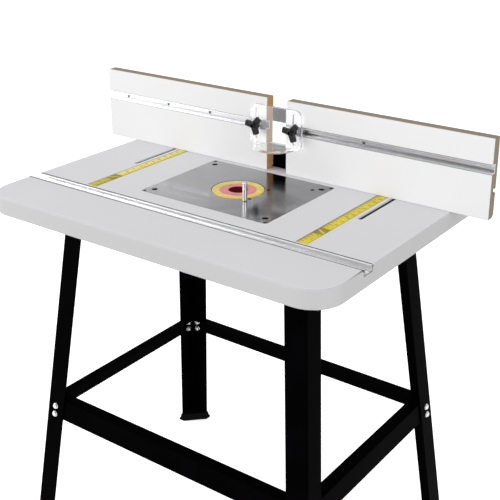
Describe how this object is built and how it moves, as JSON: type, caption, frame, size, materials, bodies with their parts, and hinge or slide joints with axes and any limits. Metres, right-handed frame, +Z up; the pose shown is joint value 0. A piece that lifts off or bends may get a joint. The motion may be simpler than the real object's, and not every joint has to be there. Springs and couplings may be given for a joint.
{
  "type": "router table",
  "caption": "Floor-standing router table: laminated top on a splayed angle-steel stand, ringed insert plate, miter track, scale tapes and a sliding split fence with a clear guard.",
  "frame": {"origin": "on the floor, under the middle of the table top", "axes": "+Z up, +X along the top's length to the operator's right, +Y from the operator to the fence"},
  "size_m": [0.922, 0.608, 0.933],
  "materials": {
    "laminate": "white laminate over fibreboard",
    "plate_metal": "brushed",
    "aluminium": "bright anodised",
    "yellow_plastic": "moulded",
    "red_plastic": "moulded",
    "scale_yellow": "printed tape",
    "black_steel": "satin black powder coat",
    "black_plastic": "moulded",
    "rubber": "moulded",
    "zinc": "zinc plated",
    "clear_acrylic": "clear polished"
  },
  "bodies": {
    "table": {"table_top": "laminate", "miter_track": "aluminium", "insert_plate": "plate_metal", "insert_ring_outer": "yellow_plastic", "insert_ring_inner": "red_plastic", "starting_pin": "zinc", "plate_screw_front_left": "black_steel", "plate_screw_front_right": "black_steel", "plate_screw_back_left": "black_steel", "plate_screw_back_right": "black_steel", "scale_tape_left": "scale_yellow", "scale_tape_right": "scale_yellow", "leg_front_left": "black_steel", "leg_front_right": "black_steel", "leg_back_left": "black_steel", "leg_back_right": "black_steel", "foot_front_left": "rubber", "foot_front_right": "rubber", "foot_back_left": "rubber", "foot_back_right": "rubber", "brace_front": "black_steel", "brace_back": "black_steel", "brace_left": "black_steel", "brace_right": "black_steel", "top_rail_front": "black_steel", "top_rail_back": "black_steel", "top_rail_left": "black_steel", "top_rail_right": "black_steel", "brace_bolt_front_left_front": "zinc", "brace_bolt_front_left_left": "zinc", "brace_bolt_front_right_front": "zinc", "brace_bolt_front_right_right": "zinc", "brace_bolt_back_left_back": "zinc", "brace_bolt_back_left_left": "zinc", "brace_bolt_back_right_back": "zinc", "brace_bolt_back_right_right": "zinc"},
    "fence": {"fence_bracket": "black_steel", "fence_clamp_bolt_left": "zinc", "fence_clamp_bolt_right": "zinc", "board_bolt_left_outer": "zinc", "board_bolt_left_inner": "zinc", "board_bolt_right_inner": "zinc", "board_bolt_right_outer": "zinc", "guard_bolt_left": "zinc", "guard_bolt_right": "zinc"},
    "fence_half_left": {"fence_board_left": "laminate", "fence_track_left": "aluminium"},
    "fence_half_right": {"fence_board_right": "laminate", "fence_track_right": "aluminium"},
    "guard": {"guard": "clear_acrylic"},
    "fence_clamp_knob_left": {"fence_clamp_knob_left": "black_plastic"},
    "fence_clamp_knob_right": {"fence_clamp_knob_right": "black_plastic"},
    "board_knob_left_outer": {"board_knob_left_outer": "black_plastic"},
    "board_knob_left_inner": {"board_knob_left_inner": "black_plastic"},
    "board_knob_right_inner": {"board_knob_right_inner": "black_plastic"},
    "board_knob_right_outer": {"board_knob_right_outer": "black_plastic"},
    "guard_knob_left": {"guard_knob_left": "black_plastic"},
    "guard_knob_right": {"guard_knob_right": "black_plastic"}
  },
  "joints": [
    {"name": "fence_slide", "type": "slide", "parent": "table", "child": "fence", "axis": [0, 1, 0], "range_m": [-0.16, 0.036]},
    {"name": "fence_half_left_slide", "type": "slide", "parent": "fence", "child": "fence_half_left", "axis": [1, 0, 0], "range_m": [-0.015, 0.015]},
    {"name": "fence_half_right_slide", "type": "slide", "parent": "fence", "child": "fence_half_right", "axis": [1, 0, 0], "range_m": [-0.015, 0.015]},
    {"name": "guard_lift", "type": "slide", "parent": "fence", "child": "guard", "axis": [0, 0, 1], "range_m": [-0.03, 0.015]},
    {"name": "fence_clamp_knob_left_turn", "type": "hinge", "parent": "fence", "child": "fence_clamp_knob_left", "pos_m": [-0.271, 0.186, 0.7836], "axis": [0, 0, 1], "continuous": true},
    {"name": "fence_clamp_knob_right_turn", "type": "hinge", "parent": "fence", "child": "fence_clamp_knob_right", "pos_m": [0.271, 0.186, 0.7836], "axis": [0, 0, 1], "continuous": true},
    {"name": "board_knob_left_outer_turn", "type": "hinge", "parent": "fence", "child": "board_knob_left_outer", "pos_m": [-0.285, 0.1566, 0.8315], "axis": [0, 1, 0], "continuous": true},
    {"name": "board_knob_left_inner_turn", "type": "hinge", "parent": "fence", "child": "board_knob_left_inner", "pos_m": [-0.125, 0.1566, 0.8315], "axis": [0, 1, 0], "continuous": true},
    {"name": "board_knob_right_inner_turn", "type": "hinge", "parent": "fence", "child": "board_knob_right_inner", "pos_m": [0.125, 0.1566, 0.8315], "axis": [0, 1, 0], "continuous": true},
    {"name": "board_knob_right_outer_turn", "type": "hinge", "parent": "fence", "child": "board_knob_right_outer", "pos_m": [0.285, 0.1566, 0.8315], "axis": [0, 1, 0], "continuous": true},
    {"name": "guard_knob_left_turn", "type": "hinge", "parent": "fence", "child": "guard_knob_left", "pos_m": [-0.0455, 0.124, 0.8755], "axis": [0, -1, 0], "continuous": true},
    {"name": "guard_knob_right_turn", "type": "hinge", "parent": "fence", "child": "guard_knob_right", "pos_m": [0.0455, 0.124, 0.8755], "axis": [0, -1, 0], "continuous": true}
  ]
}
